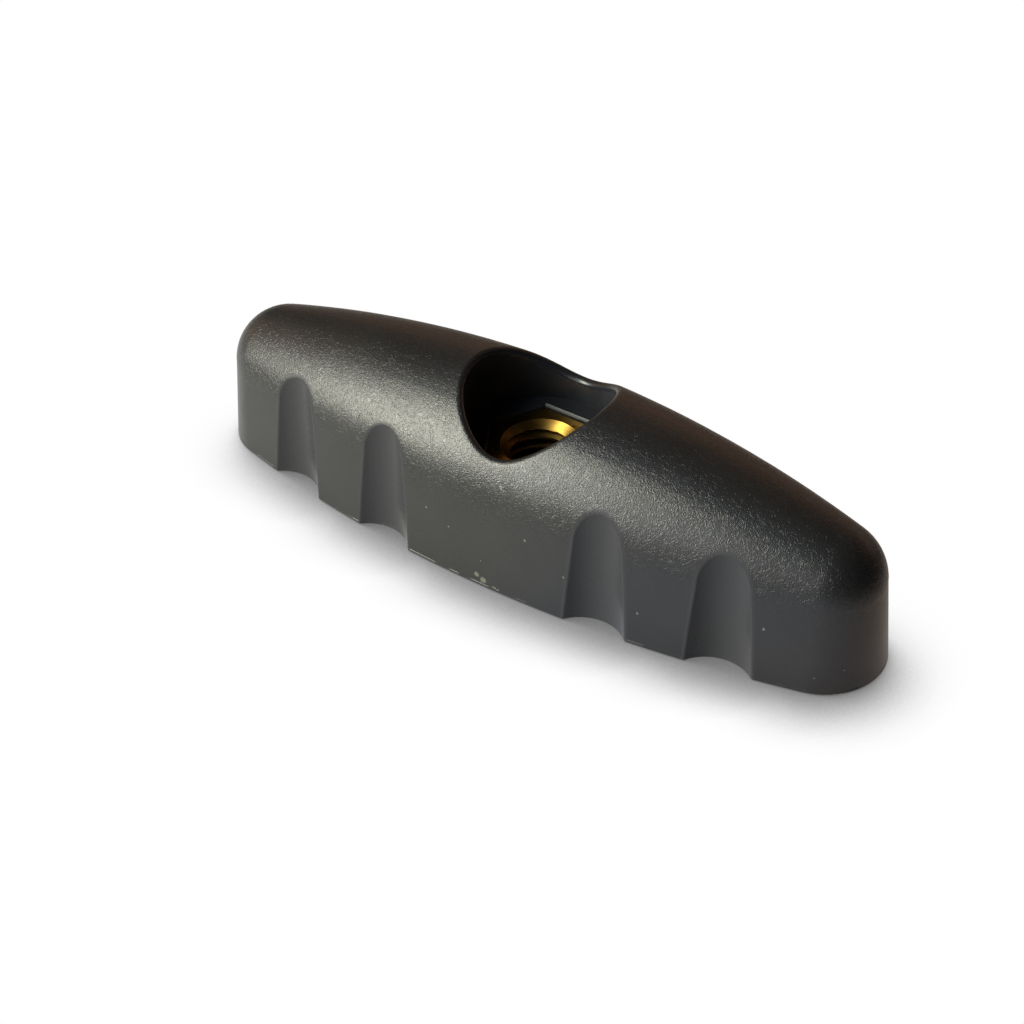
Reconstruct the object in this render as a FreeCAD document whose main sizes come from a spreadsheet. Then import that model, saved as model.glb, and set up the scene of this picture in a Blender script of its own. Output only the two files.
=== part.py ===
"""Boat-shaped moulded hand grip with a captive brass hex nut, in millimetres.

The origin is the centre of the underside, +X runs along the grip and +Z points up.
"""
import FreeCAD, Part
import Sketcher
import math
import os

# Driving dimensions: name, value in millimetres or degrees, meaning
SIZES = [
    ("length", 105.0, "overall length of the grip at its base"),
    ("width", 28.5, "overall width of the grip at its base"),
    ("height", 25.7, "height of the ridge at mid length"),
    ("side_radius", 185.0, "plan radius of the long sides"),
    ("draft", 4.5, "lean of the sides, in degrees"),
    ("base_round", 0.3, "radius of the lower outside edge"),
    ("groove_radius", 5.9, "radius of each finger groove"),
    ("groove_depth", 2.2, "depth of each finger groove below the side"),
    ("groove_pitch", 17.75, "distance between finger grooves along the grip"),
    ("groove_round", 0.5, "radius of the edges of the finger grooves"),
    ("pocket_radius", 10.0, "radius of the round pocket in the ridge"),
    ("pocket_depth", 9.9, "depth of the pocket's floor below the ridge"),
    ("lip_round", 0.8, "radius of the pocket's lip"),
    ("wall", 2.8, "wall of the moulding"),
    ("rib", 1.8, "thickness of the ribs in the underside"),
    ("rib_setback", 1.0, "height of the ribs' lower edges above the base"),
    ("nut_flats", 13.9, "distance across the flats of the nut"),
    ("nut_height", 8.0, "height of the nut"),
    ("nut_break", 0.2, "chamfer on the hexagon edges of the nut"),
    ("nut_clearance", 0.05, "gap between each flat of the nut and its recess"),
    ("nut_sink", 0.5, "depth of the nut's top below the pocket's floor"),
    ("recess_break", 0.3, "chamfer on the mouth of the nut's recess"),
    ("thread_minor", 8.4, "diameter inside the nut's thread"),
    ("countersink", 10.9, "diameter of the nut's thread entries"),
    ("countersink_angle", 90.0, "full angle of the thread entries, in degrees"),
    ("rod_hole", 10.8, "diameter of the rod's clearance hole"),
]

# Places and distances that several features share
LEAN = "tan(sizes.draft * 1 deg)"
AXIS_HEIGHT = f"(sizes.height - sizes.width / 2) / (1 - {LEAN})"
FLOOR_HEIGHT = "sizes.height - sizes.pocket_depth"
RECESS_DEPTH = "sizes.nut_sink + sizes.nut_height"
SEAT_HEIGHT = f"{FLOOR_HEIGHT} - ({RECESS_DEPTH})"

GROOVE_STEPS = (1, 2)
RIB_STEP = sum(GROOVE_STEPS) / len(GROOVE_STEPS)
HEX_SIDES = 6
UP = FreeCAD.Vector(0, 0, 1)
CLOSE = 1e-3

# A sketch's own numbers for the points of an edge and for its axes
START, END, CENTRE = range(1, 4)
X_AXIS, Y_AXIS = range(-1, -3, -1)
ORIGIN = (X_AXIS, START)


def make_sheet(doc):
    """Write the driving dimensions into the spreadsheet."""
    sheet = doc.addObject("Spreadsheet::Sheet", "sizes")
    for row, (name, value, meaning) in enumerate(SIZES, start=1):
        sheet.set(f"A{row}", name)
        sheet.set(f"B{row}", str(value))
        sheet.set(f"C{row}", meaning)
        sheet.setAlias(f"B{row}", name)
    doc.recompute()


def size_of(item, size):
    """Work out an expression on the driving dimensions."""
    return float(item.evalExpression(size))


def origin_part(body, role):
    """Return the plane or axis of a body's own origin that has this role."""
    return next(part for part in body.Origin.OriginFeatures if part.Role == role)


def make_sketch(body, name, role="XY_Plane", raised="0"):
    """Attach a sketch to one of the body's own planes, raised above the base."""
    sketch = body.newObject("Sketcher::SketchObject", name)
    sketch.AttachmentSupport = [(origin_part(body, role), "")]
    sketch.MapMode = "FlatFace"
    upward = "z" if role == "XY_Plane" else "y"
    sketch.setExpression(f"AttachmentOffset.Base.{upward}", raised)
    return sketch


def join(sketch, kind, *where):
    """Add a constraint that has no size."""
    sketch.addConstraint(Sketcher.Constraint(kind, *where))


def bind(sketch, kind, *where, size):
    """Add a constraint whose size follows an expression."""
    index = sketch.addConstraint(Sketcher.Constraint(kind, *where, size_of(sketch, size)))
    sketch.setExpression(f"Constraints[{index}]", size)


def place(sketch, edge, point, x, y):
    """Tie a point's distances from the sketch's origin to two expressions."""
    for kind, size, axis in (("DistanceX", x, Y_AXIS), ("DistanceY", y, X_AXIS)):
        if size == "0":
            join(sketch, "PointOnObject", edge, point, axis)
        elif size_of(sketch, size) > 0:
            bind(sketch, kind, *ORIGIN, edge, point, size=size)
        else:
            bind(sketch, kind, edge, point, *ORIGIN, size=f"-({size})")


def add_arc(sketch, x, y, radius, start, end):
    """Draw an arc, counter-clockwise from its start angle to its end angle."""
    circle = Part.Circle(FreeCAD.Vector(x, y, 0), UP, radius)
    return sketch.addGeometry(Part.ArcOfCircle(circle, start, end))


def add_circle(sketch, x, y, radius):
    """Draw a circle whose centre and radius follow expressions."""
    centre = FreeCAD.Vector(size_of(sketch, x), size_of(sketch, y), 0)
    circle = sketch.addGeometry(Part.Circle(centre, UP, size_of(sketch, radius)))
    place(sketch, circle, CENTRE, x, y)
    bind(sketch, "Radius", circle, size=radius)


def add_lines(sketch, corners):
    """Draw a closed run of straight lines through corners that follow expressions."""
    points = [FreeCAD.Vector(size_of(sketch, x), size_of(sketch, y), 0) for x, y in corners]
    lines = [sketch.addGeometry(Part.LineSegment(*pair)) for pair in zip(points, points[1:] + points[:1])]
    for line, following in zip(lines, lines[1:] + lines[:1]):
        join(sketch, "Coincident", line, END, following, START)
    for line, (x, y) in zip(lines, corners):
        place(sketch, line, START, x, y)


def add_hexagon(sketch, flats):
    """Draw a regular hexagon across its flats, with two corners on the sketch's X axis."""
    corner_radius = f"({flats}) / 2 / cos(30 deg)"
    radius = size_of(sketch, corner_radius)
    rim = sketch.addGeometry(Part.Circle(FreeCAD.Vector(), UP, radius), True)
    place(sketch, rim, CENTRE, "0", "0")
    bind(sketch, "Radius", rim, size=corner_radius)
    angles = [2 * math.pi * side / HEX_SIDES for side in range(HEX_SIDES + 1)]
    corners = [FreeCAD.Vector(radius * math.cos(angle), radius * math.sin(angle), 0) for angle in angles]
    lines = [sketch.addGeometry(Part.LineSegment(*pair)) for pair in zip(corners, corners[1:])]
    join(sketch, "PointOnObject", lines[0], START, X_AXIS)
    for line, following in zip(lines, lines[1:] + lines[:1]):
        join(sketch, "Coincident", line, END, following, START)
        join(sketch, "PointOnObject", line, START, rim)
    for line in lines[1:]:
        join(sketch, "Equal", lines[0], line)


def add_boat_side(sketch, half_length, half_width, radius, end_turn):
    """Draw a long curved side that runs tangent into the two round ends."""
    reach, beam, bend = (size_of(sketch, size) for size in (half_length, half_width, radius))
    drop = bend - beam
    end_x = (drop ** 2 - (bend - reach) ** 2) / (2 * (bend - reach))
    meet = math.atan2(drop, end_x)
    turn = meet * end_turn
    side = add_arc(sketch, 0, -drop, bend, meet, math.pi - meet)
    left = add_arc(sketch, -end_x, 0, reach - end_x, math.pi - meet, math.pi + turn)
    right = add_arc(sketch, end_x, 0, reach - end_x, -turn, meet)
    join(sketch, "Tangent", side, END, left, START)
    join(sketch, "Tangent", right, END, side, START)
    join(sketch, "Horizontal", side, START, side, END)
    place(sketch, side, CENTRE, "0", f"{half_width} - ({radius})")
    bind(sketch, "Radius", side, size=radius)
    return side, left, right


def draw_plan(sketch, half_length, half_width, radius):
    """Draw the closed boat outline: two like sides and two round ends."""
    side, left, right = add_boat_side(sketch, half_length, half_width, radius, end_turn=1)
    upper = sketch.Geometry[side]
    far_side = add_arc(sketch, 0, -upper.Center.y, upper.Radius,
                       math.pi + upper.FirstParameter, math.pi + upper.LastParameter)
    join(sketch, "Symmetric", side, START, far_side, END, X_AXIS)
    join(sketch, "Symmetric", side, END, far_side, START, X_AXIS)
    join(sketch, "Equal", side, far_side)
    join(sketch, "Coincident", right, START, far_side, END)
    join(sketch, "Coincident", left, END, far_side, START)
    tip = sketch.addGeometry(Part.Point(FreeCAD.Vector(size_of(sketch, half_length), 0, 0)), True)
    join(sketch, "PointOnObject", tip, START, right)
    place(sketch, tip, START, half_length, "0")


def draw_dome(sketch, half_length, half_width, radius):
    """Draw the upper half of the boat outline, closed along the X axis that it turns about."""
    side, left, right = add_boat_side(sketch, half_length, half_width, radius, end_turn=0)
    join(sketch, "PointOnObject", left, CENTRE, X_AXIS)
    join(sketch, "PointOnObject", left, END, X_AXIS)
    join(sketch, "PointOnObject", right, CENTRE, X_AXIS)
    place(sketch, right, START, half_length, "0")
    tip = FreeCAD.Vector(size_of(sketch, half_length), 0, 0)
    middle = sketch.addGeometry(Part.LineSegment(-tip, tip))
    join(sketch, "Coincident", left, END, middle, START)
    join(sketch, "Coincident", middle, END, right, START)


def make_form(doc, name, inward):
    """Make a body of the domed boat shape, drawn in from the outside by a distance."""
    body = doc.addObject("PartDesign::Body", name)
    plan_sizes = [f"{size} - {inward}" for size in ("sizes.length / 2", "sizes.width / 2", "sizes.side_radius")]
    plan = make_sketch(body, f"{name}_plan")
    draw_plan(plan, *plan_sizes)
    block = body.newObject("PartDesign::Pad", f"{name}_block")
    block.Profile = plan
    block.setExpression("Length", AXIS_HEIGHT)
    block.setExpression("TaperAngle", "-sizes.draft * 1 deg")

    dome_sizes = [f"{size} - {AXIS_HEIGHT} * {LEAN}" for size in plan_sizes]
    profile = make_sketch(body, f"{name}_dome_profile", "XZ_Plane", raised=AXIS_HEIGHT)
    draw_dome(profile, *dome_sizes)
    dome = body.newObject("PartDesign::Revolution", f"{name}_dome")
    dome.Profile = profile
    dome.ReferenceAxis = (profile, ["H_Axis"])
    dome.Midplane = True
    dome.Angle = 180
    doc.recompute()
    return body


def cut_through(body, sketch, upward=True):
    """Cut a sketch's shape through everything above it, or below it."""
    cut = body.newObject("PartDesign::Pocket", f"{sketch.Name}_cut")
    cut.Profile = sketch
    cut.Type = "ThroughAll"
    cut.Reversed = upward
    cut.Refine = False
    body.Document.recompute()


def groove_centre(step):
    """Return the expressions for a finger groove's centre, counted in steps from mid length."""
    along = f"{step} * sizes.groove_pitch"
    side = f"sizes.width / 2 - sizes.side_radius + sqrt(sizes.side_radius ^ 2 - ({along}) ^ 2)"
    return along, f"{side} - sizes.groove_depth + sizes.groove_radius"


def cut_grooves(body, name, radius):
    """Cut upright round columns at the finger grooves, on both sides and both ends."""
    sketch = make_sketch(body, name)
    for step in GROOVE_STEPS:
        along, across = groove_centre(step)
        for x in (along, f"-({along})"):
            for y in (across, f"-({across})"):
                add_circle(sketch, x, y, radius)
    cut_through(body, sketch)


def edge_names(shape, wanted):
    """Name the edges that pass a test on their middle point and their curve."""
    names = []
    for index, edge in enumerate(shape.Edges, start=1):
        if edge.Degenerated:
            continue
        middle = edge.valueAt((edge.FirstParameter + edge.LastParameter) / 2)
        if wanted(middle, edge.Curve):
            names.append(f"Edge{index}")
    return names


def dress_edges(body, kind, name, size, wanted):
    """Fillet or chamfer the edges that pass a test."""
    base = body.Tip
    dressing = body.newObject(f"PartDesign::{kind}", name)
    dressing.Base = (base, edge_names(base.Shape, wanted))
    dressing.setExpression("Radius" if kind == "Fillet" else "Size", size)
    body.Document.recompute()


def round_groove_edges(body):
    """Round the edges that the finger grooves cut in the sides and the dome."""
    radius = size_of(body, "sizes.groove_radius")
    centres = [[size_of(body, size) for size in groove_centre(step)] for step in GROOVE_STEPS]

    def on_groove(point, curve):
        gaps = [math.hypot(abs(point.x) - x, abs(point.y) - y) - radius for x, y in centres]
        return point.z > CLOSE and min(abs(gap) for gap in gaps) < CLOSE

    dress_edges(body, "Fillet", "groove_edges", "sizes.groove_round", on_groove)


def cut_pocket(body):
    """Sink the round pocket into the ridge and round its lip."""
    sketch = make_sketch(body, "pocket", raised=FLOOR_HEIGHT)
    add_circle(sketch, "0", "0", "sizes.pocket_radius")
    cut_through(body, sketch)
    radius = size_of(body, "sizes.pocket_radius")
    floor = size_of(body, FLOOR_HEIGHT)

    def on_lip(point, curve):
        on_wall = abs(math.hypot(point.x, point.y) - radius) < CLOSE
        return on_wall and point.z > floor + CLOSE and not isinstance(curve, Part.Line)

    dress_edges(body, "Fillet", "lip", "sizes.lip_round", on_lip)


def cut_nut_recess(body):
    """Cut the hexagonal recess in the pocket's floor, and the rod's hole under it."""
    recess = make_sketch(body, "recess", raised=FLOOR_HEIGHT)
    add_hexagon(recess, "sizes.nut_flats + 2 * sizes.nut_clearance")
    cut = body.newObject("PartDesign::Pocket", "recess_cut")
    cut.Profile = recess
    cut.setExpression("Length", RECESS_DEPTH)
    body.Document.recompute()
    floor = size_of(body, FLOOR_HEIGHT)
    dress_edges(body, "Chamfer", "recess_mouth", "sizes.recess_break",
                lambda point, curve: abs(point.z - floor) < CLOSE and isinstance(curve, Part.Line))
    hole = make_sketch(body, "rod_hole", raised=SEAT_HEIGHT)
    add_circle(hole, "0", "0", "sizes.rod_hole / 2")
    cut_through(body, hole, upward=False)


def make_outside(doc):
    """Make everything of the grip but its hollow underside."""
    body = make_form(doc, "outside", "0")
    cut_grooves(body, "finger_grooves", "sizes.groove_radius")
    round_groove_edges(body)
    dress_edges(body, "Fillet", "base_edge", "sizes.base_round", lambda point, curve: point.z < CLOSE)
    cut_pocket(body)
    cut_nut_recess(body)
    return body


def make_hollow(doc):
    """Make the core that hollows the underside, less the boss, the groove walls and the ribs."""
    body = make_form(doc, "hollow", "sizes.wall")
    boss = make_sketch(body, "boss")
    add_circle(boss, "0", "0", "sizes.pocket_radius + sizes.wall")
    cut_through(body, boss)
    cut_grooves(body, "groove_walls", "sizes.groove_radius + sizes.wall")

    spine = make_sketch(body, "spine", raised="sizes.rib_setback")
    add_block(spine, "0", "sizes.length / 2", "sizes.rib / 2")
    cut_through(body, spine)
    ribs = make_sketch(body, "cross_ribs", raised="sizes.rib_setback")
    for step in (RIB_STEP, -RIB_STEP):
        add_block(ribs, f"{step} * sizes.groove_pitch", "sizes.rib / 2", "sizes.width / 2")
    cut_through(body, ribs)
    return body


def add_block(sketch, x, half_length, half_width):
    """Draw a rectangle centred on the X axis."""
    left, right = f"{x} - {half_length}", f"{x} + {half_length}"
    low, high = f"-({half_width})", half_width
    add_lines(sketch, [(left, low), (right, low), (right, high), (left, high)])


def make_grip(doc):
    """Make the moulded grip."""
    grip = doc.addObject("Part::Cut", "grip")
    grip.Base = make_outside(doc)
    grip.Tool = make_hollow(doc)
    return grip


def make_hex_nut(doc):
    """Make the brass nut, a length of hexagon bar with a countersunk bore, seated in its recess."""
    body = doc.addObject("PartDesign::Body", "hex_nut")
    hexagon = make_sketch(body, "nut_hexagon")
    add_hexagon(hexagon, "sizes.nut_flats")
    blank = body.newObject("PartDesign::Pad", "nut_blank")
    blank.Profile = hexagon
    blank.setExpression("Length", "sizes.nut_height")
    doc.recompute()
    dress_edges(body, "Chamfer", "nut_edges", "sizes.nut_break",
                lambda point, curve: min(point.z, abs(size_of(body, "sizes.nut_height") - point.z)) < CLOSE)

    minor, mouth = "sizes.thread_minor / 2", "sizes.countersink / 2"
    sink = f"({mouth} - {minor}) / tan(sizes.countersink_angle / 2 * 1 deg)"
    profile = make_sketch(body, "bore_profile", "XZ_Plane")
    add_lines(profile, [("0", "0"), (mouth, "0"), (minor, sink), (minor, f"sizes.nut_height - {sink}"),
                        (mouth, "sizes.nut_height"), ("0", "sizes.nut_height")])
    bore = body.newObject("PartDesign::Groove", "nut_bore")
    bore.Profile = profile
    bore.ReferenceAxis = (profile, ["V_Axis"])
    body.setExpression("Placement.Base.z", SEAT_HEIGHT)
    return body


def check(doc, pieces):
    """Stop if anything in the document failed, or a piece isn't one sound solid."""
    for item in doc.Objects:
        if {"Invalid", "Error"} & set(item.State):
            raise RuntimeError(f"{item.Label} failed: {item.State}")
    for piece in pieces:
        shape = piece.Shape
        if shape.isNull() or not shape.isValid() or len(shape.Solids) != 1:
            raise RuntimeError(f"{piece.Label} isn't one sound solid")


def main():
    """Build the document and write each piece to its own file."""
    doc = FreeCAD.newDocument("hand_grip")
    make_sheet(doc)
    pieces = [make_grip(doc), make_hex_nut(doc)]
    doc.recompute()
    check(doc, pieces)
    os.makedirs("parts", exist_ok=True)
    for piece in pieces:
        piece.Shape.exportStep(f"parts/{piece.Label}.step")


main()
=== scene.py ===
import math

import bmesh
import bpy
from bpy.props import FloatProperty, FloatVectorProperty, IntProperty, PointerProperty
from mathutils import Matrix, Vector


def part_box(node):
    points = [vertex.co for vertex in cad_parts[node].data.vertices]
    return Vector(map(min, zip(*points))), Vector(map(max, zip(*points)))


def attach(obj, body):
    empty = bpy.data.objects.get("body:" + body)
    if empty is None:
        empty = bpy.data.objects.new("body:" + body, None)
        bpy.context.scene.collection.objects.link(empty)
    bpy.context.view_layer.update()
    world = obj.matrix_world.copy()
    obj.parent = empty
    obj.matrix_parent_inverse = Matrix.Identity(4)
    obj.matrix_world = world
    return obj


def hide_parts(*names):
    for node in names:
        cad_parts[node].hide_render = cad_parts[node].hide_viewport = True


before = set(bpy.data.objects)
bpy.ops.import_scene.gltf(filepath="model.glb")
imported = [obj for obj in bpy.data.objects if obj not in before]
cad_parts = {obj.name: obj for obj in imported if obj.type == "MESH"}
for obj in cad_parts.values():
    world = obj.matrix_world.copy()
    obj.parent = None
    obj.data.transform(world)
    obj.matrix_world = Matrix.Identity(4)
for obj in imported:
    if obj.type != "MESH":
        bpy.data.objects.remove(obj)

bl_info = {
    "name": "Moulded hand grip with a brass nut",
    "version": (1, 0, 0),
    "blender": (4, 5, 0),
    "location": "View3D > Sidebar > Hand grip",
    "description": "Dresses the hand grip's frame: grained plastic, threaded brass nut and stage",
    "category": "Object",
}

NUT_LOW, NUT_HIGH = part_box("hex_nut")

# Corners closer than these are joined: of the CAD copy, the wound thread and the whole nut
CAD_MERGE = 1e-6
THREAD_MERGE = 2e-7
NUT_MERGE = 2e-6

# A corner this near the pocket's radius lies on its wall
WALL_TOLERANCE = 2e-6

# Faces are told apart by the Z part of their normals: less than this is upright, more is level
UPRIGHT = 0.01
LEVEL = 0.9

# The pocket's floor, with the chamfer round the nut, ends this far above the nut
POCKET_FLOOR_RISE = 0.001

# Edges that turn by more than these angles in degrees stay sharp
GRIP_CREASE = 35.0
NUT_CREASE = 25.0

# Tall window light: azimuth and elevation in degrees, distance, width and height
WINDOW_AIM = (-130.0, 29.0)
WINDOW_DISTANCE = 1.0
WINDOW_SIZE = (0.40, 1.05)

# Soft lights of the room: azimuth, elevation, inner and outer half width in degrees, and colour
ROOM_LIGHTS = (
    (-130.0, 8.0, 12.0, 34.0, (3.6, 3.8, 3.9)),
    (-101.0, 25.0, 8.0, 32.0, (1.75, 1.80, 1.78)),
    (-130.0, 45.0, 10.0, 36.0, (0.15, 0.38, 0.90)),
    (-172.0, 14.0, 10.0, 38.0, (0.76, 0.48, 0.24)),
    (92.0, 6.0, 15.0, 62.0, (0.17, 0.085, 0.050)),
    (118.0, 6.0, 6.0, 28.0, (0.30, 0.19, 0.12)),
    (80.0, 2.0, 8.0, 26.0, (0.42, 0.33, 0.26)),
)

# Finger grooves, folded onto one quarter of the grip
GROOVE_CENTRES = ((0.01775, 0.01710), (0.0355, 0.01452))
GROOVE_RADIUS = 0.0059

# Heights over which the moulded grain fades in, and its strength below them
GRAIN_HEIGHTS = (0.0095, 0.0140)
FAINT_GRAIN = 0.22

# Thin flash at the foot of the moulding: the heights over which it ends, and its depth
FLASH_HEIGHTS = (0.00040, 0.00070)
FLASH_DEPTH = 0.00008

# How far past a radius each finish begins and is complete; the bore and crest margins also bound the
# painted shade in the nut's thread
OUTSIDE_MARGINS = (0.0001, 0.0006)
LIP_MARGINS = (-0.0012, -0.0008)
GROOVE_MARGINS = (0.0001, 0.0005)
BORE_MARGINS = (-0.00002, 0.00004)
CREST_MARGINS = (0.00003, 0.00022)

# Depths from the nut's ends over which painted shade darkens the thread
PAINTED_SHADE_DEPTHS = (0.0009, 0.0034)

# Rubbed edge of the recess round the nut: radii over which it ends, and heights above the nut
RECESS_RADII = (0.0084, 0.0087)
RUBBED_HEIGHTS = (0.00033, 0.00040)

# Thread profile: half the crest as a share of the pitch, its slopes, and the faces across it
CREST_SHARE = 0.125
FLANK_SLOPE = math.sqrt(3.0)
COUNTERSINK_SLOPE = math.tan(math.radians(45.0))
PROFILE_STEPS = 16

# Camera, fitted to the photograph: place, axes, and the lens and sensor in millimetres
CAMERA_PLACE = (0.1402, -0.1981, 0.1969)
CAMERA_RIGHT = (0.8160, 0.5776, -0.0210)
CAMERA_UP = (-0.3467, 0.5182, 0.7818)
CAMERA_BACK = (0.4625, -0.6307, 0.6232)
FOCAL_LENGTH = 79.4
SENSOR_WIDTH = 36.0

# The floor lies this far under the grip
FLOOR_DROP = 2e-5

# Contact shadow: the way it leans, and its grey from the darkest place to the lightest
SHADOW_LEAN = (-0.75, 0.58, 1.0)
SHADOW_STOPS = ((0.25, 0.15), (0.42, 0.235), (0.52, 0.36), (0.62, 0.55),
                (0.72, 0.77), (0.80, 0.91), (0.88, 0.975), (1.0, 1.0))

# Painted light on the floor, which only the gloss shows: azimuth of its bright side, middle of the glow,
# and colours
GLOW_AZIMUTH = -112.0
GLOW_MIDDLE = (-0.02, -0.04, 0.0)
GLOSS_GLOW_LEFT = (0.95, 0.94, 0.88)
GLOSS_GLOW_RIGHT = (0.72, 0.77, 0.90)
GLOSS_GLOW_BEHIND = (0.95, 0.78, 0.65)
FLOOR_LIT_COLOUR = (0.7, 0.7, 0.7)
ROOM_COLOUR = (0.012, 0.010, 0.010)

DUST_COLOUR = (0.15, 0.15, 0.145)
SCUFF_COLOUR = (0.12, 0.115, 0.09)
# Painted shade in the nut's bore, and deeper painted shade inside its thread
BORE_PAINTED_SHADE = (0.012, 0.006, 0.001)
THREAD_PAINTED_SHADE = (0.030, 0.018, 0.010)

# Pale specks and trimmed-gate scuffs on the front: x, y, z and radius in millimetres
DUST = (
    (23.5, -12.3, 5.3, 0.19),
    (40.2, -9.1, 8.5, 0.20),
    (12.7, -13.3, 6.9, 0.16),
    (-0.3, -13.9, 4.2, 0.12),
    (-9.5, -13.3, 8.8, 0.16),
    (-5.7, -13.6, 7.4, 0.16),
    (6.6, -13.3, 10.4, 0.17),
    (2.4, -12.5, 16.8, 0.21),
    (47.1, -7.8, 2.7, 0.11),
    (50.1, -5.6, 3.9, 0.11),
)
GATE_SCUFFS = (
    (-0.9, -14.1, 1.7, 0.40),
    (0.2, -14.1, 1.2, 0.50),
    (1.9, -14.2, 0.8, 0.16),
    (2.2, -14.2, 0.7, 0.18),
    (2.6, -14.2, 0.6, 0.16),
)
SPOT_WOBBLE = 0.0004


class GripSettings(bpy.types.PropertyGroup):
    """Sizes and colours of the moulded grip"""

    colour: FloatVectorProperty(
        name="Plastic colour", description="Colour of the moulded plastic",
        subtype="COLOR", size=3, min=0.0, max=1.0, default=(0.0105, 0.0105, 0.0112))
    gloss_roughness: FloatProperty(
        name="Roughness", description="Roughness of the moulded surface between its grains",
        subtype="FACTOR", min=0.0, max=1.0, default=0.34)
    grain_size: FloatProperty(
        name="Grain size", description="Width of one grain of the moulded texture",
        subtype="DISTANCE", unit="LENGTH", min=0.0001, max=0.002, default=0.0004)
    grain_depth: FloatProperty(
        name="Grain depth", description="Depth of the moulded texture",
        subtype="DISTANCE", unit="LENGTH", min=0.0, max=0.0005, default=0.00004)
    pocket_colour: FloatVectorProperty(
        name="Pocket colour", description="Colour of the smooth plastic in the pocket",
        subtype="COLOR", size=3, min=0.0, max=1.0, default=(0.0110, 0.0119, 0.0153))
    pocket_radius: FloatProperty(
        name="Pocket radius", description="Radius of the smooth round pocket in the ridge",
        subtype="DISTANCE", unit="LENGTH", min=0.005, max=0.02, default=0.010)


class NutSettings(bpy.types.PropertyGroup):
    """Sizes and colours of the brass nut"""

    colour: FloatVectorProperty(
        name="Brass colour", description="Colour of the turned brass",
        subtype="COLOR", size=3, min=0.0, max=1.0, default=(0.80, 0.49, 0.10))
    thread_pitch: FloatProperty(
        name="Thread pitch", description="Rise of the thread in one turn",
        subtype="DISTANCE", unit="LENGTH", min=0.0005, max=0.003, default=0.0015)
    crest_radius: FloatProperty(
        name="Crest radius", description="Radius inside the crests of the thread",
        subtype="DISTANCE", unit="LENGTH", min=0.002, max=0.006, default=0.0042)
    root_radius: FloatProperty(
        name="Root radius", description="Radius at the roots of the thread",
        subtype="DISTANCE", unit="LENGTH", min=0.002, max=0.007, default=0.00502)
    mouth_radius: FloatProperty(
        name="Mouth radius", description="Radius of the thread's countersunk entries",
        subtype="DISTANCE", unit="LENGTH", min=0.002, max=0.007, default=0.00545)
    edge_break: FloatProperty(
        name="Edge break", description="Chamfer on the nut's hexagon edges",
        subtype="DISTANCE", unit="LENGTH", min=0.0, max=0.001, default=0.0002)
    segments: IntProperty(
        name="Segments", description="Faces around the nut's thread",
        min=24, max=384, default=120)


class StageSettings(bpy.types.PropertyGroup):
    """Light and surroundings"""

    window_power: FloatProperty(
        name="Window light", description="Power of the tall window light in watts",
        min=0.0, max=500.0, default=21.5)
    window_colour: FloatVectorProperty(
        name="Window colour", description="Colour of the tall window light",
        subtype="COLOR", size=3, min=0.0, max=1.0, default=(1.0, 0.98, 0.76))
    floor_size: FloatProperty(
        name="Floor size", description="Side of the square floor",
        subtype="DISTANCE", unit="LENGTH", min=0.5, max=10.0, default=6.0)
    shadow_reach: FloatProperty(
        name="Shadow reach", description="Width of the soft shadow at the foot of the grip",
        subtype="DISTANCE", unit="LENGTH", min=0.005, max=0.1, default=0.0115)


class NodeSketch:
    """Adds nodes to a tree and wires them, with fewer words."""

    def __init__(self, tree):
        self.tree = tree
        tree.nodes.clear()

    def add(self, kind, inputs=None, **settings):
        """Add a node, set its properties, and set or wire its inputs."""
        node = self.tree.nodes.new(kind)
        for name, value in settings.items():
            setattr(node, name, value)
        for key, value in (inputs or {}).items():
            self.feed(node.inputs[key], value)
        return node

    def feed(self, socket, value):
        """Wire a socket to another node's output, or give it a value."""
        if isinstance(value, bpy.types.NodeSocket):
            self.tree.links.new(value, socket)
        else:
            socket.default_value = value

    def math(self, operation, first, second=0.0, third=0.0):
        """Add a Math node and return its output."""
        node = self.add("ShaderNodeMath", {0: first, 1: second, 2: third}, operation=operation)
        return node.outputs[0]

    def distance(self, point, place):
        """Return a point's distance from a fixed place."""
        node = self.add("ShaderNodeVectorMath", {0: point, 1: place}, operation="DISTANCE")
        return node.outputs["Value"]

    def noise(self, point, scale, detail, roughness=0.5, distortion=0.0):
        """Add a Noise Texture and return its grey output."""
        node = self.add("ShaderNodeTexNoise", {"Vector": point, "Scale": scale, "Detail": detail,
                                               "Roughness": roughness, "Distortion": distortion})
        return node.outputs["Fac"]

    def ramp(self, factor, stops):
        """Add a colour ramp with grey stops and return its output."""
        node = self.add("ShaderNodeValToRGB", {0: factor})
        band = node.color_ramp
        while len(band.elements) > 1:
            band.elements.remove(band.elements[-1])
        for index, (place, grey) in enumerate(stops):
            stop = band.elements[0] if index == 0 else band.elements.new(place)
            stop.position = place
            stop.color = (grey, grey, grey, 1.0)
        return node.outputs[0]

    def mix(self, factor, first, second, blend="MIX"):
        """Add a colour Mix node and return its output."""
        node = self.add("ShaderNodeMix", data_type="RGBA", blend_type=blend)
        self.feed(node.inputs[0], factor)
        self.feed(node.inputs[6], first)
        self.feed(node.inputs[7], second)
        return node.outputs[2]

    def reach(self, value, low, high, low_out=0.0, high_out=1.0):
        """Map a range onto another range, smoothly and without overshoot."""
        node = self.add("ShaderNodeMapRange", {0: value, 1: low, 2: high, 3: low_out, 4: high_out},
                        interpolation_type="SMOOTHSTEP")
        return node.outputs[0]

    def past(self, value, edge, margins, low_out=0.0, high_out=1.0):
        """Map how far a value lies past an edge, between two margins."""
        return self.reach(value, edge + margins[0], edge + margins[1], low_out, high_out)


def new_material(name):
    """Make a material with an empty node tree and return both."""
    material = bpy.data.materials.new(name)
    material.use_nodes = True
    return material, NodeSketch(material.node_tree)


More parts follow.
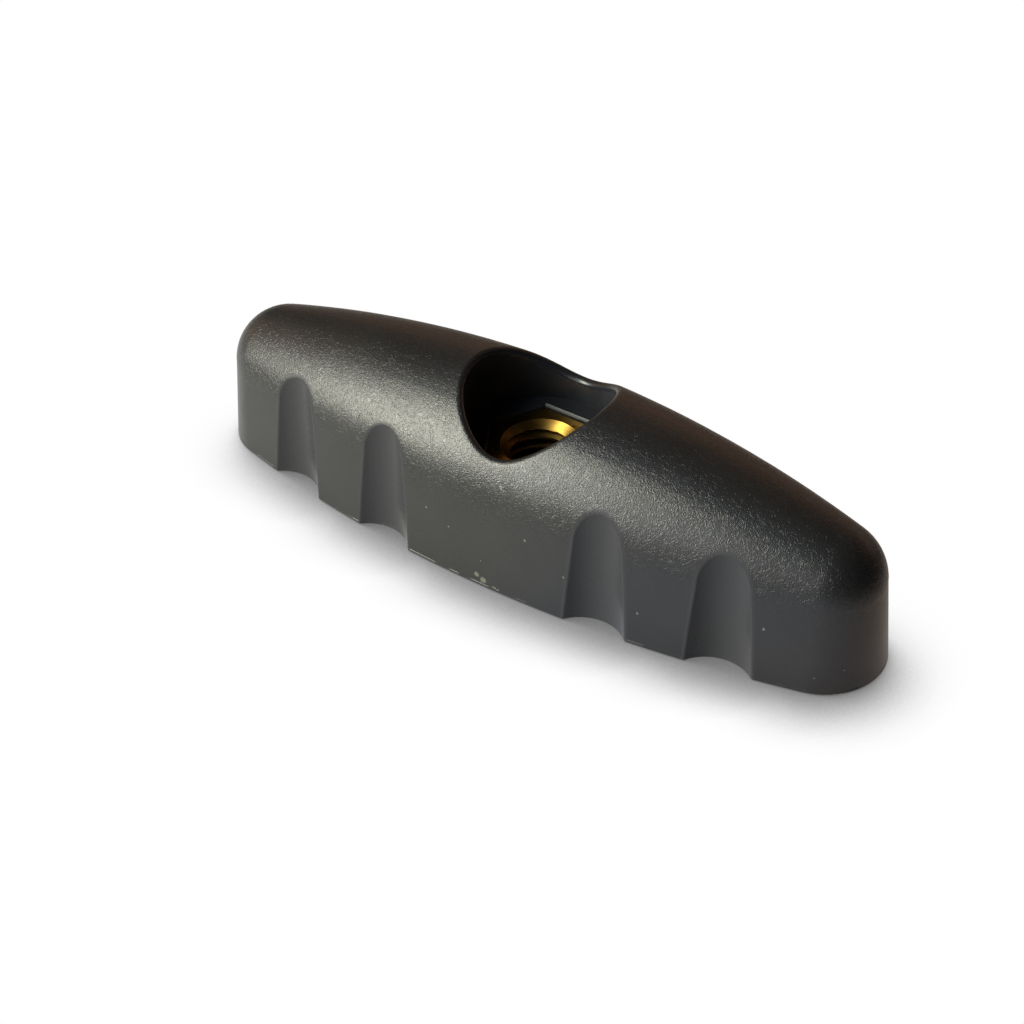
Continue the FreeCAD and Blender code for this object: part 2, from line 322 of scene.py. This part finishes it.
def tone(colour, factors=(1.0, 1.0, 1.0)):
    """Return a colour as an opaque socket value, with each channel times its factor."""
    return (*[channel * factor for channel, factor in zip(colour, factors)], 1.0)


def radius_about_z(sketch, point):
    """Return a point's distance from the Z axis, and its height."""
    x, y, z = sketch.add("ShaderNodeSeparateXYZ", {0: point}).outputs
    squares = sketch.math("ADD", sketch.math("MULTIPLY", x, x), sketch.math("MULTIPLY", y, y))
    return sketch.math("SQRT", squares), z


def groove_mask(sketch, point):
    """Return 1 on the walls of the finger grooves and 0 elsewhere."""
    x, y = sketch.add("ShaderNodeSeparateXYZ", {0: point}).outputs[:2]
    folded = sketch.add("ShaderNodeCombineXYZ", {0: sketch.math("ABSOLUTE", x),
                                                 1: sketch.math("ABSOLUTE", y)}).outputs[0]
    gaps = [sketch.distance(folded, (*centre, 0.0)) for centre in GROOVE_CENTRES]
    return sketch.past(sketch.math("MINIMUM", *gaps), GROOVE_RADIUS, GROOVE_MARGINS, 1.0, 0.0)


def spots(sketch, point, places):
    """Return 1 on small uneven spots at the given places, each with its own radius."""
    wobble = sketch.add("ShaderNodeTexNoise", {"Vector": point, "Scale": 2600.0, "Detail": 1.0})
    moved = sketch.add("ShaderNodeVectorMath",
                       {0: wobble.outputs["Color"], 1: (SPOT_WOBBLE,) * 3, 2: point},
                       operation="MULTIPLY_ADD").outputs["Vector"]
    total = 0.0
    for x, y, z, radius in places:
        centre = tuple(value / 1000.0 + SPOT_WOBBLE / 2.0 for value in (x, y, z))
        spot = sketch.reach(sketch.distance(moved, centre), radius * 0.0006, radius * 0.0012, 1.0, 0.0)
        total = sketch.math("MAXIMUM", spot, total)
    return total


def plastic_material(settings):
    """Make the black moulded plastic: grained outside, smoother in the grooves and on the lip."""
    material, sketch = new_material("grip_plastic_moulded")
    point = sketch.add("ShaderNodeTexCoord").outputs["Object"]
    radius, height = radius_about_z(sketch, point)
    wall = settings.pocket_radius
    outside = sketch.past(radius, wall, OUTSIDE_MARGINS)
    groove = groove_mask(sketch, point)
    grained = sketch.math("MULTIPLY", outside, sketch.math("MULTIPLY_ADD", groove, -0.85, 1.0))
    grained = sketch.math("MULTIPLY", grained, sketch.reach(height, *GRAIN_HEIGHTS, FAINT_GRAIN, 1.0))

    # Curly worm-like ridges over a fine spark-eroded grain. The ridges are a little glossier
    scale = 1.0 / settings.grain_size
    curl_width, curl_height, curl_gloss = 0.055, 0.30, 0.12
    curls = sketch.noise(point, scale * 0.50, 1.0, distortion=1.1)
    from_line = sketch.math("ABSOLUTE", sketch.math("SUBTRACT", curls, 0.5))
    worm = sketch.reach(from_line, 0.0, curl_width, 1.0, 0.0)
    fine = sketch.noise(point, scale * 1.9, 1.5, roughness=0.65)
    relief = sketch.math("MULTIPLY_ADD", worm, curl_height, fine)
    glossier = sketch.math("MULTIPLY_ADD", worm, curl_gloss, -curl_gloss / 2.0)
    crested = sketch.math("MULTIPLY", grained, glossier)
    bump = sketch.add("ShaderNodeBump", {"Height": relief, "Distance": settings.grain_depth,
                                         "Strength": grained})

    # Thin flash at the foot of the moulding, broken where it was trimmed
    trim = sketch.noise(point, 230.0, 2.0)
    flash = sketch.math("MULTIPLY", sketch.reach(height, *FLASH_HEIGHTS, 1.0, 0.0),
                        sketch.reach(trim, 0.42, 0.58))
    edged = sketch.add("ShaderNodeBump", {"Height": flash, "Distance": FLASH_DEPTH, "Strength": 1.0,
                                          "Normal": bump.outputs[0]})

    # Pale specks: a few rare ones anywhere, and the ones on the front
    specks = sketch.add("ShaderNodeTexVoronoi", {"Vector": point, "Scale": 150.0}, feature="F1")
    chance = sketch.add("ShaderNodeSeparateColor", {0: specks.outputs["Color"]}).outputs[0]
    rare = sketch.math("GREATER_THAN", chance, 0.94)
    tiny = sketch.reach(specks.outputs["Distance"], 0.012, 0.022, 1.0, 0.0)
    dust = sketch.math("MAXIMUM", sketch.math("MULTIPLY", rare, sketch.math("MULTIPLY", tiny, outside)),
                       spots(sketch, point, DUST))
    scuff = spots(sketch, point, GATE_SCUFFS)

    # The groove walls are paler and less glossy, but smoother
    mottle = sketch.noise(point, 160.0, 3.0)
    plain_skin = sketch.mix(sketch.reach(mottle, 0.35, 0.65, 0.0, 0.3), tone(settings.colour),
                            tone(settings.colour, (1.35, 1.35, 1.35)))
    grooved = sketch.mix(groove, plain_skin, tone(settings.colour, (2.7, 2.73, 2.85)))
    clean = sketch.mix(outside, tone(settings.pocket_colour), grooved)
    dusty = sketch.mix(sketch.math("MULTIPLY", dust, 0.6), clean, tone(DUST_COLOUR))
    tint = sketch.mix(sketch.math("MULTIPLY", scuff, 0.7), dusty, tone(SCUFF_COLOUR))
    level = sketch.math("MULTIPLY_ADD", groove, -0.35, sketch.math("ADD", crested, 0.5))

    skin = sketch.math("MULTIPLY_ADD", groove, -0.07, settings.gloss_roughness)
    skin = sketch.math("MULTIPLY_ADD", sketch.math("SUBTRACT", mottle, 0.5), 0.08, skin)
    skin = sketch.math("MULTIPLY_ADD", sketch.math("MULTIPLY", worm, grained), -0.06, skin)
    lip = sketch.past(radius, wall, LIP_MARGINS, 0.42, 0.27)
    shader = sketch.add("ShaderNodeBsdfPrincipled", {
        "Base Color": tint, "Normal": edged.outputs[0], "Specular IOR Level": level,
        "Roughness": sketch.math("MULTIPLY_ADD", outside, sketch.math("SUBTRACT", skin, lip), lip)})
    shader.inputs["IOR"].default_value = 1.5
    sketch.add("ShaderNodeOutputMaterial", {"Surface": shader.outputs[0]})
    return material


def pocket_material(settings):
    """Make the dull dark plastic of the pocket's wall and floor, with faint upright tool marks."""
    material, sketch = new_material("grip_plastic_pocket")
    point = sketch.add("ShaderNodeTexCoord").outputs["Object"]
    cloudy = sketch.noise(point, 300.0, 3.0)
    tint = sketch.mix(sketch.reach(cloudy, 0.35, 0.65, 0.0, 0.5), tone(settings.pocket_colour),
                      tone(settings.pocket_colour, (1.6, 1.6, 1.6)))
    drawn = sketch.add("ShaderNodeMapping", {"Vector": point, "Scale": (1.0, 1.0, 0.06)}).outputs[0]
    marks = sketch.noise(drawn, 2400.0, 2.0)
    bump = sketch.add("ShaderNodeBump", {"Height": marks, "Distance": 0.000004, "Strength": 1.0})

    # The upper part of the chamfer round the nut is rubbed shiny
    radius, height = radius_about_z(sketch, point)
    shiny = sketch.math("MULTIPLY", sketch.reach(radius, *RECESS_RADII, 1.0, 0.0),
                        sketch.past(height, NUT_HIGH[2], RUBBED_HEIGHTS))
    dull = sketch.math("MULTIPLY_ADD", cloudy, 0.10, 0.44)
    shader = sketch.add("ShaderNodeBsdfPrincipled", {
        "Base Color": tint, "Normal": bump.outputs[0],
        "Roughness": sketch.math("MULTIPLY_ADD", shiny, sketch.math("SUBTRACT", 0.38, dull), dull)})
    shader.inputs["IOR"].default_value = 1.5
    shader.inputs["Specular IOR Level"].default_value = 0.28
    sketch.add("ShaderNodeOutputMaterial", {"Surface": shader.outputs[0]})
    return material


def brass_material(settings):
    """Make the turned brass: a smooth top, fine rings around the bore, and painted shade darkening the
    bore and its threads.
    """
    material, sketch = new_material("nut_brass_turned")
    point = sketch.add("ShaderNodeTexCoord").outputs["Object"]
    radius, height = radius_about_z(sketch, point)
    turned = sketch.add("ShaderNodeCombineXYZ", {0: radius, 2: height}).outputs[0]
    rings = sketch.noise(turned, 9000.0, 3.0)
    stain = sketch.noise(point, 420.0, 5.0)
    bump = sketch.add("ShaderNodeBump", {"Height": rings, "Distance": 0.000003, "Strength": 1.0})

    # Painted shade darkens the whole bore, and more of it darkens the thread away from its ends, least on
    # the crests
    bore = sketch.past(radius, settings.mouth_radius, BORE_MARGINS, 1.0, 0.0)
    depth = sketch.math("MINIMUM", sketch.math("SUBTRACT", NUT_HIGH[2], height),
                        sketch.math("SUBTRACT", height, NUT_LOW[2]))
    shade_across_thread = sketch.past(radius, settings.crest_radius, CREST_MARGINS, 0.45, 1.0)
    shade_by_depth = sketch.math("MULTIPLY", sketch.reach(depth, *PAINTED_SHADE_DEPTHS), shade_across_thread)
    painted_thread_shade = sketch.math("MULTIPLY", bore, shade_by_depth)
    tint = sketch.mix(sketch.reach(stain, 0.38, 0.62, 0.0, 0.55), tone(settings.colour),
                      tone(settings.colour, (0.55, 0.42, 0.5)))
    # Painted shade over the whole bore
    tint = sketch.mix(sketch.math("MULTIPLY", bore, 0.66), tint, tone(BORE_PAINTED_SHADE))
    # Deeper painted shade in the thread, lighter on its crests than in its roots
    tint = sketch.mix(sketch.math("MULTIPLY", painted_thread_shade, 0.92), tint, tone(THREAD_PAINTED_SHADE))
    polish = sketch.math("MULTIPLY_ADD", bore, 0.22, 0.09)
    rough = sketch.math("MULTIPLY_ADD", stain, 0.08, polish)
    shader = sketch.add("ShaderNodeBsdfPrincipled", {"Base Color": tint, "Roughness": rough,
                                                     "Normal": bump.outputs[0]})
    shader.inputs["Metallic"].default_value = 1.0
    sketch.add("ShaderNodeOutputMaterial", {"Surface": shader.outputs[0]})
    return material


def show(mesh, name):
    """Put a mesh in the scene as an object at the origin."""
    item = bpy.data.objects.new(name, mesh)
    bpy.context.scene.collection.objects.link(item)
    return item


def smooth_normals(item, radius):
    """Shade a merged CAD copy smoothly, with exact normals on the pocket's wall."""
    mesh = item.data
    if "custom_normal" in mesh.attributes:
        mesh.attributes.remove(mesh.attributes["custom_normal"])
    mesh.shade_smooth()
    mesh.set_sharp_from_angle(angle=math.radians(GRIP_CREASE))
    even = item.modifiers.new("even_shading", "WEIGHTED_NORMAL")
    even.keep_sharp = True
    evaluated = item.evaluated_get(bpy.context.evaluated_depsgraph_get()).data
    normals = [corner.vector.copy() for corner in evaluated.corner_normals]
    item.modifiers.remove(even)
    for face in mesh.polygons:
        if abs(face.normal.z) > LEVEL:
            continue
        for corner in face.loop_indices:
            place = mesh.vertices[mesh.loops[corner].vertex_index].co
            if abs(math.hypot(place.x, place.y) - radius) < WALL_TOLERANCE:
                normals[corner] = Vector((-place.x, -place.y, 0.0)).normalized()
    mesh.normals_split_custom_set(normals)


class HANDGRIP_OT_grip(bpy.types.Operator):
    """Make the moulded grip"""

    bl_idname = "handgrip.grip"
    bl_label = "Moulded grip"

    def execute(self, context):
        settings = context.scene.handgrip_grip
        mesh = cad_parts["grip"].data.copy()
        shape = bmesh.new()
        shape.from_mesh(mesh)
        bmesh.ops.remove_doubles(shape, verts=shape.verts, dist=CAD_MERGE)
        shape.to_mesh(mesh)
        shape.free()
        mesh.name = "moulded_grip"
        mesh.materials.clear()
        mesh.materials.append(plastic_material(settings))
        mesh.materials.append(pocket_material(settings))
        wall = settings.pocket_radius + WALL_TOLERANCE
        floor_top = NUT_HIGH[2] + POCKET_FLOOR_RISE
        for face in mesh.polygons:
            inside = math.hypot(face.center.x, face.center.y) < wall
            below_lip = face.center.z < floor_top or abs(face.normal.z) < UPRIGHT
            if inside and below_lip and face.center.z > NUT_LOW[2]:
                face.material_index = 1
        grip = show(mesh, "moulded_grip")
        smooth_normals(grip, settings.pocket_radius)
        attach(grip, "root")
        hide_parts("grip")
        return {"FINISHED"}


def thread_tree():
    """Make the node tree that winds the nut's threaded bore, countersunk at both ends."""
    tree = bpy.data.node_groups.new("threaded_bore", "GeometryNodeTree")
    sketch = NodeSketch(tree)
    for name, default in (("Pitch", 0.0015), ("Crest Radius", 0.0042), ("Root Radius", 0.005),
                          ("Mouth Radius", 0.0055), ("Low End", 0.0), ("High End", 0.01)):
        item = tree.interface.new_socket(name, in_out="INPUT", socket_type="NodeSocketFloat")
        item.default_value = default
    item = tree.interface.new_socket("Segments", in_out="INPUT", socket_type="NodeSocketInt")
    item.default_value = 96
    tree.interface.new_socket("Material", in_out="INPUT", socket_type="NodeSocketMaterial")
    tree.interface.new_socket("Geometry", in_out="OUTPUT", socket_type="NodeSocketGeometry")
    sockets = sketch.add("NodeGroupInput").outputs
    pitch, crest, root = sockets["Pitch"], sockets["Crest Radius"], sockets["Root Radius"]
    mouth, low, high = sockets["Mouth Radius"], sockets["Low End"], sockets["High End"]

    whole = sketch.math("CEIL", sketch.math("DIVIDE", sketch.math("SUBTRACT", high, low), pitch))
    turns = sketch.math("ADD", whole, 1.0)
    around = sketch.math("MULTIPLY", turns, sockets["Segments"])
    grid = sketch.add("GeometryNodeMeshGrid", {"Size X": 1.0, "Size Y": 1.0,
                                               "Vertices X": sketch.math("ADD", around, 1.0),
                                               "Vertices Y": PROFILE_STEPS + 1})
    place = sketch.add("ShaderNodeSeparateXYZ", {0: sketch.add("GeometryNodeInputPosition").outputs[0]})
    along = sketch.math("MULTIPLY", sketch.math("ADD", place.outputs[0], 0.5), turns)
    across = sketch.math("ADD", place.outputs[1], 0.5)
    angle = sketch.math("MULTIPLY", along, 2.0 * math.pi)
    start = sketch.math("SUBTRACT", low, pitch)
    height = sketch.math("MULTIPLY_ADD", sketch.math("ADD", along, across), pitch, start)
    height = sketch.math("MINIMUM", sketch.math("MAXIMUM", height, low), high)
    from_crest = sketch.math("ABSOLUTE", sketch.math("SUBTRACT", across, 0.5))
    flank = sketch.math("MULTIPLY", sketch.math("SUBTRACT", from_crest, CREST_SHARE),
                        sketch.math("MULTIPLY", pitch, FLANK_SLOPE))
    radius = sketch.math("ADD", crest, sketch.math("MAXIMUM", flank, 0.0))
    radius = sketch.math("MINIMUM", radius, root)
    for depth in (sketch.math("SUBTRACT", high, height), sketch.math("SUBTRACT", height, low)):
        countersunk = sketch.math("MULTIPLY_ADD", depth, -COUNTERSINK_SLOPE, mouth)
        radius = sketch.math("MAXIMUM", radius, countersunk)
    x, y = (sketch.math("MULTIPLY", radius, sketch.math(kind, angle)) for kind in ("COSINE", "SINE"))
    wound = sketch.add("ShaderNodeCombineXYZ", {0: x, 1: y, 2: height})
    bore = sketch.add("GeometryNodeSetPosition", {"Geometry": grid.outputs["Mesh"],
                                                  "Position": wound.outputs[0]})
    bore = sketch.add("GeometryNodeMergeByDistance", {"Geometry": bore.outputs[0],
                                                      "Distance": THREAD_MERGE})
    bore = sketch.add("GeometryNodeRealizeInstances", {"Geometry": bore.outputs[0]})
    bore = sketch.add("GeometryNodeSetMaterial", {"Geometry": bore.outputs[0],
                                                  "Material": sockets["Material"]})
    sketch.add("NodeGroupOutput", {"Geometry": bore.outputs[0]})
    return tree


def baked(name, tree, inputs):
    """Run a node tree on an empty object and return the result as a plain mesh."""
    holder = show(bpy.data.meshes.new(name), f"{name}_maker")
    modifier = holder.modifiers.new(name, "NODES")
    modifier.node_group = tree
    for item in tree.interface.items_tree:
        if item.item_type == "SOCKET" and item.in_out == "INPUT" and item.name in inputs:
            modifier[item.identifier] = inputs[item.name]
    evaluated = holder.evaluated_get(bpy.context.evaluated_depsgraph_get())
    mesh = bpy.data.meshes.new_from_object(evaluated)
    bpy.data.objects.remove(holder)
    return mesh


def add_hexagon_shell(shape, settings, low, high, apothem):
    """Add the nut's top, flats and foot, from one thread mouth to the other."""
    count = settings.segments
    brk = settings.edge_break

    def ring(radius_at, height):
        turns = [2.0 * math.pi * step / count for step in range(count)]
        return [shape.verts.new((radius_at(turn) * math.cos(turn), radius_at(turn) * math.sin(turn),
                                 height)) for turn in turns]

    def hexagon(reach):
        def radius_at(turn):
            off_flat = (turn + math.pi / 6.0) % (math.pi / 3.0) - math.pi / 6.0
            return reach / math.cos(math.pi / 6.0 - abs(off_flat))
        return radius_at

    def round_at(turn):
        return settings.mouth_radius

    rings = [ring(round_at, high), ring(hexagon(apothem - brk), high), ring(hexagon(apothem), high - brk),
             ring(hexagon(apothem), low + brk), ring(hexagon(apothem - brk), low), ring(round_at, low)]
    for upper, lower in zip(rings, rings[1:]):
        for step in range(count):
            after = (step + 1) % count
            shape.faces.new((upper[step], lower[step], lower[after], upper[after]))


class HANDGRIP_OT_nut(bpy.types.Operator):
    """Make the threaded brass nut"""

    bl_idname = "handgrip.nut"
    bl_label = "Brass nut"

    def execute(self, context):
        settings = context.scene.handgrip_nut
        material = brass_material(settings)
        bore = baked("threaded_bore", thread_tree(), {
            "Pitch": settings.thread_pitch, "Crest Radius": settings.crest_radius,
            "Root Radius": settings.root_radius, "Mouth Radius": settings.mouth_radius,
            "Low End": NUT_LOW[2], "High End": NUT_HIGH[2], "Segments": settings.segments,
            "Material": material})
        shape = bmesh.new()
        shape.from_mesh(bore)
        add_hexagon_shell(shape, settings, NUT_LOW[2], NUT_HIGH[2], (NUT_HIGH[1] - NUT_LOW[1]) / 2.0)
        bmesh.ops.remove_doubles(shape, verts=shape.verts, dist=NUT_MERGE)
        bmesh.ops.dissolve_degenerate(shape, edges=shape.edges, dist=1e-7)
        bmesh.ops.recalc_face_normals(shape, faces=shape.faces)
        mesh = bpy.data.meshes.new("brass_nut")
        shape.to_mesh(mesh)
        shape.free()
        mesh.materials.append(material)
        mesh.shade_smooth()
        mesh.set_sharp_from_angle(angle=math.radians(NUT_CREASE))
        nut = show(mesh, "brass_nut")
        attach(nut, "root")
        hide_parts("hex_nut")
        return {"FINISHED"}


def aim(azimuth, elevation=0.0):
    """Return the unit vector toward an azimuth and an elevation in degrees."""
    turn, rise = math.radians(azimuth), math.radians(elevation)
    return (math.cos(rise) * math.cos(turn), math.cos(rise) * math.sin(turn), math.sin(rise))


def seen_directly(sketch):
    """Return Is Camera Ray, and whether the ray is a camera, glossy or transmission ray."""
    path = sketch.add("ShaderNodeLightPath").outputs
    mirrored = sketch.math("MAXIMUM", path["Is Glossy Ray"], path["Is Transmission Ray"])
    return path["Is Camera Ray"], sketch.math("MAXIMUM", path["Is Camera Ray"], mirrored)


def floor_material(settings):
    """Make the white floor, which keeps a soft shadow at the foot of the grip."""
    material, sketch = new_material("white_floor")
    point = sketch.add("ShaderNodeTexCoord").outputs["Object"]
    lean = sketch.add("ShaderNodeCombineXYZ", dict(enumerate(SHADOW_LEAN)))
    hidden = sketch.add("ShaderNodeAmbientOcclusion", {"Distance": settings.shadow_reach,
                                                      "Normal": lean.outputs[0]}, samples=10)
    shade = sketch.ramp(hidden.outputs["AO"], SHADOW_STOPS)

    # Painted light on the floor, which only the gloss shows: cooler on the right, warm behind, and bright
    # in front on the left
    outward = sketch.add("ShaderNodeVectorMath", {0: point}, operation="NORMALIZE").outputs["Vector"]
    toward = sketch.add("ShaderNodeVectorMath", {0: outward, 1: aim(GLOW_AZIMUTH)},
                        operation="DOT_PRODUCT").outputs["Value"]
    sideways = sketch.add("ShaderNodeSeparateXYZ", {0: outward}).outputs[0]
    facing = sketch.reach(toward, -0.75, 0.35)
    hue = sketch.mix(sketch.reach(sideways, -0.2, 0.9), tone(GLOSS_GLOW_LEFT), tone(GLOSS_GLOW_RIGHT))
    hue = sketch.mix(facing, tone(GLOSS_GLOW_BEHIND), hue)

    # It fades away from the grip, sooner behind it than in front
    away = sketch.distance(point, GLOW_MIDDLE)
    before = sketch.reach(away, 0.07, 0.26, 1.0, 0.15)
    behind = sketch.reach(away, 0.07, 0.15, 0.72, 0.10)
    level = sketch.math("MULTIPLY_ADD", facing, sketch.math("SUBTRACT", before, behind), behind)
    grey = sketch.add("ShaderNodeCombineColor", {0: level, 1: level, 2: level}).outputs[0]
    mirrored = sketch.mix(1.0, hue, grey, blend="MULTIPLY")
    mirrored = sketch.mix(0.36, mirrored, shade, blend="MULTIPLY")

    # Rays from the camera and from gloss see the colours as they are, and from below it is clear
    camera, direct = seen_directly(sketch)
    seen = sketch.add("ShaderNodeEmission", {"Color": sketch.mix(camera, mirrored, shade)})
    seen.inputs["Strength"].default_value = 1.0
    lit = sketch.add("ShaderNodeBsdfDiffuse", {"Color": tone(FLOOR_LIT_COLOUR)})
    upper = sketch.add("ShaderNodeMixShader", {0: direct, 1: lit.outputs[0], 2: seen.outputs[0]})
    clear = sketch.add("ShaderNodeBsdfTransparent")
    from_below = sketch.add("ShaderNodeNewGeometry").outputs["Backfacing"]
    surface = sketch.add("ShaderNodeMixShader", {0: from_below, 1: upper.outputs[0], 2: clear.outputs[0]})
    sketch.add("ShaderNodeOutputMaterial", {"Surface": surface.outputs[0]})
    return material


def make_world(scene):
    """Make the dim room with its soft lights, and the white backdrop behind the floor."""
    world = bpy.data.worlds.new("studio_room")
    world.use_nodes = True
    scene.world = world
    sketch = NodeSketch(world.node_tree)
    way = sketch.add("ShaderNodeTexCoord").outputs["Generated"]
    room = sketch.add("ShaderNodeCombineXYZ", dict(enumerate(ROOM_COLOUR))).outputs[0]
    for azimuth, elevation, inner, outer, colour in ROOM_LIGHTS:
        toward = sketch.add("ShaderNodeVectorMath", {0: way, 1: aim(azimuth, elevation)},
                            operation="DOT_PRODUCT").outputs["Value"]
        glow = sketch.reach(toward, math.cos(math.radians(outer)), math.cos(math.radians(inner)))
        tinted = sketch.add("ShaderNodeVectorMath", {0: colour, "Scale": glow}, operation="SCALE")
        room = sketch.add("ShaderNodeVectorMath", {0: room, 1: tinted.outputs["Vector"]},
                          operation="ADD").outputs["Vector"]

    camera, direct = seen_directly(sketch)
    backdrop = sketch.mix(camera, room, (1.0, 1.0, 1.0, 1.0))
    back = sketch.add("ShaderNodeBackground", {"Color": sketch.mix(direct, room, backdrop)})
    back.inputs["Strength"].default_value = 1.0
    sketch.add("ShaderNodeOutputWorld", {"Surface": back.outputs[0]})


def add_window(scene, settings):
    """Add the tall window light, facing the grip."""
    lamp = bpy.data.lights.new("window", "AREA")
    lamp.color = settings.window_colour
    lamp.shape = "RECTANGLE"
    lamp.size, lamp.size_y = WINDOW_SIZE
    lamp.energy = settings.window_power
    item = bpy.data.objects.new("window", lamp)
    toward = Vector(aim(*WINDOW_AIM)).normalized()
    item.location = toward * WINDOW_DISTANCE
    item.rotation_euler = toward.to_track_quat("Z", "Y").to_euler()
    scene.collection.objects.link(item)


def add_camera(scene):
    """Add the camera at the photograph's viewing angle."""
    lens = bpy.data.cameras.new("camera")
    lens.sensor_width = SENSOR_WIDTH
    lens.lens = FOCAL_LENGTH
    lens.clip_start = 0.01
    lens.clip_end = 20.0
    camera = bpy.data.objects.new("camera", lens)
    turn = Matrix((CAMERA_RIGHT, CAMERA_UP, CAMERA_BACK)).transposed()
    camera.matrix_world = Matrix.Translation(CAMERA_PLACE) @ turn.to_4x4()
    scene.collection.objects.link(camera)
    scene.camera = camera


class HANDGRIP_OT_stage(bpy.types.Operator):
    """Make the floor, the light and the camera"""

    bl_idname = "handgrip.stage"
    bl_label = "Stage"

    def execute(self, context):
        settings = context.scene.handgrip_stage
        half = settings.floor_size / 2.0
        mesh = bpy.data.meshes.new("floor")
        corners = [(-half, -half), (half, -half), (half, half), (-half, half)]
        mesh.from_pydata([(x, y, -FLOOR_DROP) for x, y in corners], [], [(0, 1, 2, 3)])
        mesh.materials.append(floor_material(settings))
        show(mesh, "floor")
        add_window(context.scene, settings)
        make_world(context.scene)
        add_camera(context.scene)
        context.scene.view_settings.view_transform = "Standard"
        return {"FINISHED"}


class HANDGRIP_PT_panel(bpy.types.Panel):
    """Buttons for each piece of the hand grip"""

    bl_idname = "HANDGRIP_PT_panel"
    bl_label = "Hand grip"
    bl_space_type = "VIEW_3D"
    bl_region_type = "UI"
    bl_category = "Hand grip"

    def draw(self, context):
        for maker, settings in ((HANDGRIP_OT_grip, context.scene.handgrip_grip),
                                (HANDGRIP_OT_nut, context.scene.handgrip_nut),
                                (HANDGRIP_OT_stage, context.scene.handgrip_stage)):
            box = self.layout.box()
            box.operator(maker.bl_idname)
            for name in settings.__annotations__:
                box.prop(settings, name)


CLASSES = (GripSettings, NutSettings, StageSettings, HANDGRIP_OT_grip, HANDGRIP_OT_nut, HANDGRIP_OT_stage,
           HANDGRIP_PT_panel)


def register():
    """Register the classes and attach the settings to the scene."""
    for kind in CLASSES:
        bpy.utils.register_class(kind)
    bpy.types.Scene.handgrip_grip = PointerProperty(type=GripSettings)
    bpy.types.Scene.handgrip_nut = PointerProperty(type=NutSettings)
    bpy.types.Scene.handgrip_stage = PointerProperty(type=StageSettings)


def unregister():
    """Detach the settings and unregister the classes."""
    for name in ("handgrip_grip", "handgrip_nut", "handgrip_stage"):
        delattr(bpy.types.Scene, name)
    for kind in reversed(CLASSES):
        bpy.utils.unregister_class(kind)


def main():
    """Make every piece."""
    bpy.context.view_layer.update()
    register()
    bpy.ops.handgrip.grip()
    bpy.ops.handgrip.nut()
    bpy.ops.handgrip.stage()


if __name__ == "__main__":
    main()
